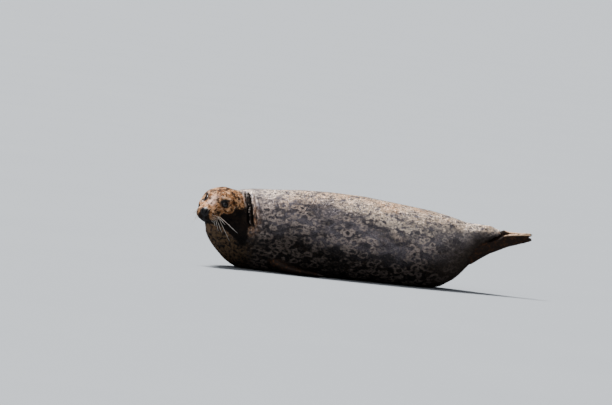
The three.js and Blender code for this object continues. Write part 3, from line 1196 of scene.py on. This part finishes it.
        nostril = np.zeros(len(points))
        for side in SIDES.values():
            path = [(side * 0.004, -0.034), (side * 0.009, -0.026), (side * 0.0125, -0.015)]
            distance, _ = along(local[:, 1:], path)
            nostril = np.maximum(nostril, swell(distance, 0.0024))
        lift -= 0.006 * nostril * fade(ahead, 0.066, 0.078)
        wing = np.abs(np.abs(left) - 0.016)
        lift += 0.0012 * swell(wing, 0.004) * fade(ahead, 0.072, 0.082) * fade(up, -0.04, -0.03)

        lips = above_mouth(local) - 0.004 * swell(left, 0.012)
        lift -= 0.0034 * swell(lips, 0.0022) * fade(ahead, 0.012, 0.03)
        cleft = swell(left, 0.0022) * fade(ahead, 0.07, 0.082) * fade(up, -0.058, -0.05)
        lift -= 0.0026 * cleft * fade(up, -0.026, -0.034)

        lift += 0.0008 * swell(body.from_follicles(local), 0.0026)
        lift += body.folds(points)
        lift += self.toes(points)
        points = points + normals * lift[:, None]
        put(skin.data, points)
        self.open_lids(skin)

    def toes(self, points: np.ndarray) -> np.ndarray:
        """Works out the ridges of the toes and the hollows of the webs.

        Args:
            points: Places on the skin.

        Returns:
            How far each place is raised.
        """
        lift = np.zeros(len(points))
        for kind, root, ridge in (("fore", -0.075, 0.0022), ("hind", -0.17, 0.0028)):
            for side in SIDES:
                box = [np.array(corner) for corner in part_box(f"{kind}_flipper_{side}")]
                inside = np.all((points > box[0] - 0.004) & (points < box[1] + 0.004), axis=1)
                tips = [
                    sum(np.array(corner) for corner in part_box(f"{kind}_claw_{side}_{toe}")) / 2
                    for toe in range(1, 6)
                ]
                middle = sum(tips) / 5
                heel = middle + np.array([root, 0.0, 0.0])
                heel[2] += 0.015 if kind == "fore" else 0.0
                rays = [along(points[inside], [heel + 0.3 * (tip - middle), tip]) for tip in tips]
                nearest = np.min([distance for distance, _ in rays], axis=0)
                share = np.max([place for _, place in rays], axis=0)
                lift[inside] += ridge * (swell(nearest, 0.007) - 0.5) * fade(share, 0.05, 0.4)
        return lift

    def open_lids(self, skin: Object) -> None:
        """Draws the skin back from the eyeball inside each opening, with a crisp edge.

        Args:
            skin: The skin.
        """
        points = places(skin.data)
        local = AXES.inward(points)
        for socket in SOCKETS:
            distance, angle, edge = socket.polar(local)
            near = (distance < self.lid_reach) & (angle < 100)
            over = angle - edge
            snapped = over * np.clip(np.abs(over) / self.lid_snap, 0.12, 1.0)
            lid = socket.radius + self.lid_gap + self.lid_swell * fade(over, 0, 9)
            inside = socket.radius - self.hidden_depth
            fresh = np.where(snapped < 0, inside, np.maximum(distance, lid))
            blend = np.where(over < 0, 1.0, fade(distance, self.lid_reach, 0.026))
            fresh = distance + (fresh - distance) * blend
            turned = (local - socket.centre) @ socket.rows.T
            sideways = unit(turned * [0, 1, 1])
            bent = np.radians(np.clip(edge + snapped, 0, 179))
            moved = np.cos(bent)[:, None] * np.array([1.0, 0, 0]) + np.sin(bent)[:, None] * sideways
            moved = (moved * fresh[:, None]) @ socket.rows + socket.centre
            share = (near * np.where(over < 0, 1.0, fade(distance, self.lid_reach, 0.028)))[:, None]
            local = local + (moved - local) * share
        put(skin.data, AXES.outward(local))


# ---------------------------------------------------------------- the hair


@dataclass(frozen=True)
class Growth:
    """How the hair of one part of the body grows."""

    count: int
    length: float
    width: float
    rise: float


@dataclass(frozen=True)
class Ground:
    """The skin's triangles, which hair grows from, each with its place on its part's map."""

    points: np.ndarray
    normals: np.ndarray
    corners: np.ndarray
    flat: np.ndarray

    def spread(self, face: np.ndarray, weights: np.ndarray) -> tuple[np.ndarray, np.ndarray, np.ndarray]:
        """Finds places inside triangles.

        Args:
            face: The triangles' numbers.
            weights: How near each place is to its triangle's three corners.

        Returns:
            The places, the directions that the skin faces there, and their places on the map.
        """
        corners = self.corners[face]
        root = (self.points[corners] * weights).sum(1)
        normal = unit((self.normals[corners] * weights).sum(1))
        return root, normal, (self.flat[face] * weights).sum(1)


@dataclass
class Pelt:
    """The short hair, as thin solid tufts that lie along the skin."""

    growths: dict = field(
        default_factory=lambda: {
            Region.FACE: Growth(40000, 0.0050, 0.00085, 0.0008),
            Region.NECK: Growth(30000, 0.0110, 0.0016, 0.0026),
            Region.BACK: Growth(34000, 0.0130, 0.0019, 0.0030),
            Region.FLANK_LEFT: Growth(46000, 0.0130, 0.0019, 0.0030),
            Region.FLANK_RIGHT: Growth(46000, 0.0130, 0.0019, 0.0030),
            Region.RUMP: Growth(34000, 0.0120, 0.0018, 0.0026),
            Region.FORE_FEET: Growth(16000, 0.0050, 0.0010, 0.0009),
            Region.HIND_FEET: Growth(20000, 0.0055, 0.0010, 0.0009),
        }
    )
    patch: float = 0.003
    stray: float = 9.0
    bare_underside: float = 0.0006
    above_floor: float = 0.0002
    seed: int = 7

    def build(self, skin: Object, finish: Material, body: BodyMap) -> list[Object]:
        """Grows all the hair.

        Args:
            skin: The finished skin.
            finish: The hair's material.
            body: Where things are on the body.

        Returns:
            One piece for each part of the body.
        """
        carrier = bpy.data.objects.new("carrier", skin.data.copy())
        bpy.context.collection.objects.link(carrier)
        finish_with(carrier, "TRIANGULATE")
        mesh = carrier.data
        corners = read(mesh.loops, "vertex_index", 1, int).reshape(-1, 3)
        points, normals = places(mesh), facing(mesh)
        centres = points[corners].mean(1)
        marks = body.marks(centres)
        names = body.region(centres, marks["foot"])
        bald = np.maximum(marks["wet"], marks["rim"]) > 0.55
        for socket in SOCKETS:
            distance, angle, edge = socket.polar(AXES.inward(centres))
            bald |= (distance < socket.radius + 0.003) & (angle < edge + 4)
        bald |= centres[:, 2] < self.bare_underside
        ground = Ground(points, normals, corners, self.unwrap(carrier, names))
        pieces = []
        for order, region in enumerate(self.growths):
            chosen = np.flatnonzero((names == region.value) & ~bald)
            chance = np.random.default_rng(self.seed + order)
            piece = self.grow(region, ground, chosen, body, chance)
            pieces.append(keep(piece, finish, "coat"))
        bpy.data.objects.remove(carrier)
        return pieces

    def unwrap(self, carrier: Object, names: np.ndarray) -> np.ndarray:
        """Lays each part of the skin flat by itself.

        Args:
            carrier: A triangulated copy of the skin.
            names: The part that each face belongs to.

        Returns:
            For each face, the places of its three corners on its part's own map.
        """
        mesh = carrier.data
        mesh.uv_layers.new(name="flat")
        choose(carrier)
        for region in Region:
            mesh.polygons.foreach_set("select", names == region.value)
            with editing():
                bpy.ops.uv.smart_project(angle_limit=radians(66), island_margin=0.004)
        return read(mesh.uv_layers["flat"].data, "uv", 2).reshape(-1, 3, 2)

    def grow(
        self,
        region: Region,
        ground: Ground,
        chosen: np.ndarray,
        body: BodyMap,
        chance: np.random.Generator,
    ) -> Object:
        """Grows the hair of one part of the body.

        Args:
            region: The part.
            ground: The skin's triangles.
            chosen: The numbers of the triangles that carry this hair.
            body: Where things are on the body.
            chance: Where the random numbers come from.

        Returns:
            The piece.
        """
        growth = self.growths[region]
        sides = ground.points[ground.corners[chosen]]
        area = np.linalg.norm(np.cross(sides[:, 1] - sides[:, 0], sides[:, 2] - sides[:, 0]), axis=1)
        steps = np.cumsum(area) / area.sum()
        draws = (np.arange(growth.count) + chance.random(growth.count)) / growth.count
        face = chosen[np.minimum(np.searchsorted(steps, draws), len(chosen) - 1)]
        share = chance.random((growth.count, 2))
        over = share.sum(1) > 1
        share[over] = 1 - share[over]
        weights = np.column_stack([1 - share.sum(1), share])[:, :, None]
        root, normal, spot = ground.spread(face, weights)

        lie = body.lie(root, normal)
        side = np.cross(normal, lie)
        stray = np.radians(chance.normal(0, self.stray, growth.count))[:, None]
        lie = np.cos(stray) * lie + np.sin(stray) * side
        side = np.cross(normal, lie)
        size = (0.75 + 0.5 * chance.random(growth.count))[:, None]
        half = 0.5 * growth.width * size * side
        base = root - 0.3 * growth.rise * normal
        rise = 0.6 + 0.8 * chance.random((growth.count, 1))
        tip = root + lie * growth.length * size + normal * growth.rise * rise
        top = root + normal * growth.width * 0.35 + lie * growth.length * 0.12
        tufts = np.stack([base - half, base + half, top, tip], axis=1)
        tufts[:, :, 2] = np.maximum(tufts[:, :, 2], self.above_floor)
        first = np.arange(growth.count)[:, None] * 4
        pattern = np.array([[0, 3, 2], [2, 3, 1], [1, 3, 0], [0, 2, 1]])
        triangles = (first[:, :, None] + pattern[None]).reshape(-1, 3)
        piece = mesh_object(f"hair_{region.value}", tufts.reshape(-1, 3), triangles)
        for name, values in body.marks(root).items():
            mark(piece.data, name, np.repeat(values, 4))
        shift = self.patch * np.array([[-0.5, -0.5], [0.5, -0.5], [0.0, 0.0], [0.0, 0.5]])
        atlas = (spot[:, None, :] + shift[pattern.ravel()][None]).reshape(-1, 2)
        layer = piece.data.uv_layers.new(name="OFBake")
        layer.data.foreach_set("uv", np.clip(atlas, 0.0, 1.0).ravel())
        return piece


# ---------------------------------------------------------------- eyes, claws and whiskers


@dataclass
class Eyes:
    """The two eyeballs, each with a low bulge over its iris."""

    bulge: float = 0.0007

    def build(self, finish: Material) -> list[Object]:
        """Makes the eyeballs.

        Args:
            finish: Their material.

        Returns:
            The two pieces.
        """
        pieces = []
        for name, socket in zip(SIDES, SOCKETS):
            bpy.ops.mesh.primitive_uv_sphere_add(segments=64, ring_count=40, radius=socket.radius)
            ball = bpy.context.object
            ball.name = f"eyeball_{name}"
            points = places(ball.data)
            angle = np.degrees(np.arccos(np.clip(points[:, 2] / socket.radius, -1, 1)))
            points += unit(points) * (self.bulge * fade(angle, 44, 26))[:, None]
            points = AXES.outward(points[:, [2, 0, 1]] @ socket.rows + socket.centre)
            put(ball.data, points)
            mark(ball.data, "look", angle / 60)
            choose(ball)
            with editing():
                bpy.ops.mesh.select_all(action="SELECT")
                bpy.ops.mesh.normals_make_consistent(inside=False)
            bpy.ops.object.shade_smooth()
            pieces.append(keep(ball, finish, "eye", f"eye_{name}"))
        return pieces


@dataclass
class Claws:
    """The claws, which keep their solids and take a horn finish."""

    def build(self, finish: Material) -> list[Object]:
        """Dresses the claws.

        Args:
            finish: Their material.

        Returns:
            The claws.
        """
        nodes = [node for name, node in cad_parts.items() if "_claw_" in name]
        for node in nodes:
            for place in node.material_slots:
                place.material = finish
        return nodes


@dataclass
class Whiskers:
    """The whiskers of the pads and the brows, beaded and tapered."""

    rows: int = 5
    columns: int = 6
    brow_hairs: int = 4
    brow_length: float = 0.03
    brow_droop: float = 0.3
    thickness: float = 0.0018
    sunk: float = 0.002  # how deep a root sits in the skin
    limit: tuple = (-0.751, -0.230)  # the lowest x and y that a tip may reach
    joints: int = 16
    sides: int = 5
    seed: int = 11

    def follicles(self) -> np.ndarray:
        """Gives the places of the whisker roots on both pads, along the head's axes.

        Returns:
            Rows of places.
        """
        made = []
        for side in SIDES.values():
            for row in range(self.rows):
                for column in range(self.columns - row // 2):
                    tilt = radians(28 - 19 * row - 3 * column)
                    turn = radians(24 + 13.5 * column)
                    shell = np.array([cos(tilt) * cos(turn), side * cos(tilt) * sin(turn), sin(tilt)])
                    made.append(np.array(PAD) * [1, side, 1] + shell * PAD_RADII)
        return np.array(made)

    def build(self, skin: Object, finish: Material, roots: np.ndarray) -> Object:
        """Makes all the whiskers as one piece.

        Args:
            skin: The skin that they grow from.
            finish: Their material.
            roots: The places of their roots, along the head's axes.

        Returns:
            The piece.
        """
        chance = np.random.default_rng(self.seed)
        tree = BVHTree.FromObject(skin, bpy.context.evaluated_depsgraph_get())
        strands = []
        for root in roots:
            side = 1 if root[1] > 0 else -1
            reach = 0.010 + 0.105 * fade(np.array(-root[0]), -0.076, -0.058) * chance.uniform(0.1, 1.0)
            droop = chance.uniform(0.05, 0.35)
            lowness = 0.47 - (root[2] - PAD[2]) / PAD_RADII[2]
            rise = radians(-20 - 34 * lowness + chance.normal(0, 6))
            heading = unit(np.array([chance.normal(-0.02, 0.12), side * cos(rise), sin(rise)]))
            strands.append(self.strand(tree, root, heading, float(reach), droop))
        for side in SIDES.values():
            for hair in range(self.brow_hairs):
                root = np.array([0.016 + 0.002 * hair, side * (0.034 + 0.002 * hair), 0.04])
                heading = unit(np.array([0.5, side * (0.2 + 0.15 * hair), 0.75]))
                strands.append(self.strand(tree, root, heading, self.brow_length, self.brow_droop))
        points = np.concatenate([tube for tube, _, _ in strands])
        faces = [triangles + len(tube) * order for order, (tube, triangles, _) in enumerate(strands)]
        piece = mesh_object("whiskers", points, np.concatenate(faces))
        mark(piece.data, "root", np.concatenate([shares for _, _, shares in strands]))
        return keep(piece, finish, "claw")

    def strand(
        self, tree: BVHTree, root: np.ndarray, heading: np.ndarray, reach: float, droop: float
    ) -> tuple[np.ndarray, np.ndarray, np.ndarray]:
        """Makes one whisker.

        Args:
            tree: The skin, to set the root on.
            root: Where it starts, along the head's axes.
            heading: Which way it starts.
            reach: Its length.
            droop: How much it bends down and back.

        Returns:
            Its places, its faces and how near each place is to the root.
        """
        start = np.array(tree.find_nearest(AXES.outward(root))[0])
        ahead = AXES.direction(heading)
        bend = AXES.direction(np.array([-0.45, 0.0, -0.5])) * droop
        tip = start + (ahead + bend) * reach
        room = min(1.0, *((start[i] - self.limit[i]) / max(start[i] - tip[i], 1e-6) for i in (0, 1)))
        reach *= room if room > 0 else 1.0
        steps = np.linspace(0, 1, self.joints)[:, None]
        line = start - ahead * self.sunk + ahead * reach * steps + bend * reach * steps**2
        run = unit(np.gradient(line, axis=0))
        across = unit(np.cross(run, [0.13, 0.21, 0.97]))
        other = np.cross(run, across)
        beads = 1 + 0.12 * np.sin(steps * reach * 1400)
        radius = 0.5 * self.thickness * beads * (1 - 0.72 * steps**1.5) * min(1.0, 0.4 + reach * 10)
        turns = np.linspace(0, 2 * np.pi, self.sides, endpoint=False)
        rings = [line + radius * (cos(turn) * across + sin(turn) * other) for turn in turns]
        tube = np.stack(rings, axis=1).reshape(-1, 3)
        return tube, self.tube_faces(), np.repeat(1 - steps[:, 0], self.sides)

    def tube_faces(self) -> np.ndarray:
        """Gives the triangles of a tube of rings, with both ends closed.

        Returns:
            Rows of three point numbers.
        """
        faces = []
        for joint in range(self.joints - 1):
            for step in range(self.sides):
                near, next_ = joint * self.sides + step, joint * self.sides + (step + 1) % self.sides
                faces += [(near, next_, near + self.sides), (next_, next_ + self.sides, near + self.sides)]
        last = (self.joints - 1) * self.sides
        for step in range(1, self.sides - 1):
            faces += [(0, step + 1, step), (last, last + step, last + step + 1)]
        return np.array(faces)


# ---------------------------------------------------------------- floor, light and camera


@dataclass
class Studio:
    """The pale floor, the soft light and the camera."""

    target: tuple = (-0.2149, 0.0, 0.3222)
    distance: float = 30.6
    height: float = 2.3
    roll: float = 6.0
    lens: float = 400.0

    def camera(self) -> None:
        """Makes the camera, far off with a long lens and tipped to one side."""
        rise, tip = radians(self.height), radians(self.roll)
        back = Vector((0.0, -cos(rise), sin(rise)))
        above = Vector((0.0, sin(rise), cos(rise)))
        right = Vector((cos(tip), 0.0, 0.0)) + above * sin(tip)
        upward = above * cos(tip) - Vector((sin(tip), 0.0, 0.0))
        bpy.ops.object.camera_add()
        camera = bpy.context.object
        turn = Matrix((right, upward, back)).transposed().to_4x4()
        camera.matrix_world = Matrix.Translation(Vector(self.target) + back * self.distance) @ turn
        camera.data.lens = self.lens
        camera.data.sensor_width = 36.0
        camera.data.clip_start = 1.0
        camera.data.clip_end = 2000.0
        bpy.context.scene.camera = camera

    def floor(self, finish: Material) -> None:
        """Lays the floor.

        Args:
            finish: Its material.
        """
        bpy.ops.mesh.primitive_plane_add(size=1600.0)
        floor = bpy.context.object
        floor.name = "floor"
        floor.data.materials.append(finish)

    def lights(self) -> None:
        """Hangs a high soft key behind the seal and a dim even sky."""
        for name, heading, power, angle in (
            ("key", (-0.28, 0.32, 0.90), 16.0, 18.0),
            ("fill", (-0.42, -0.60, 0.68), 1.6, 70.0),
        ):
            bpy.ops.object.light_add(type="SUN")
            lamp = bpy.context.object
            lamp.name = name
            lamp.rotation_euler = Vector(heading).to_track_quat("Z", "Y").to_euler()
            lamp.data.energy = power
            lamp.data.angle = radians(angle)
        world = bpy.data.worlds.new("studio_air")
        world.use_nodes = True
        air = world.node_tree.nodes["Background"]
        air.inputs["Color"].default_value = (0.80, 0.87, 1.0, 1.0)
        air.inputs["Strength"].default_value = 0.30
        bpy.context.scene.world = world


def main() -> None:
    """Builds the seal and its studio, and notes its size."""
    logging.basicConfig(level=logging.INFO, format="%(message)s")
    studio = Studio()
    studio.camera()
    hide, whiskers = Hide(), Whiskers()
    roots = whiskers.follicles()
    dependencies = bpy.context.evaluated_depsgraph_get()
    feet = {
        name: BVHTree.FromObject(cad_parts[name], dependencies)
        for name in hide.flesh
        if "flipper" in name
    }
    body = BodyMap(roots, feet)
    coat = CoatFinish()
    skin = hide.build(coat.make("coat_skin", coat.skin_relief), body)
    pieces = [skin, *Pelt().build(skin, coat.make("coat_hair", coat.hair_relief), body)]
    pieces += Eyes().build(EyeFinish().make())
    pieces += Claws().build(HornFinish().make())
    pieces.append(whiskers.build(skin, WhiskerFinish().make(), roots))
    for piece in pieces:
        LOG.info("%s: %d faces", piece.name, len(piece.data.polygons))
    studio.floor(FloorFinish().make())
    studio.lights()


if __name__ == "__main__":
    main()
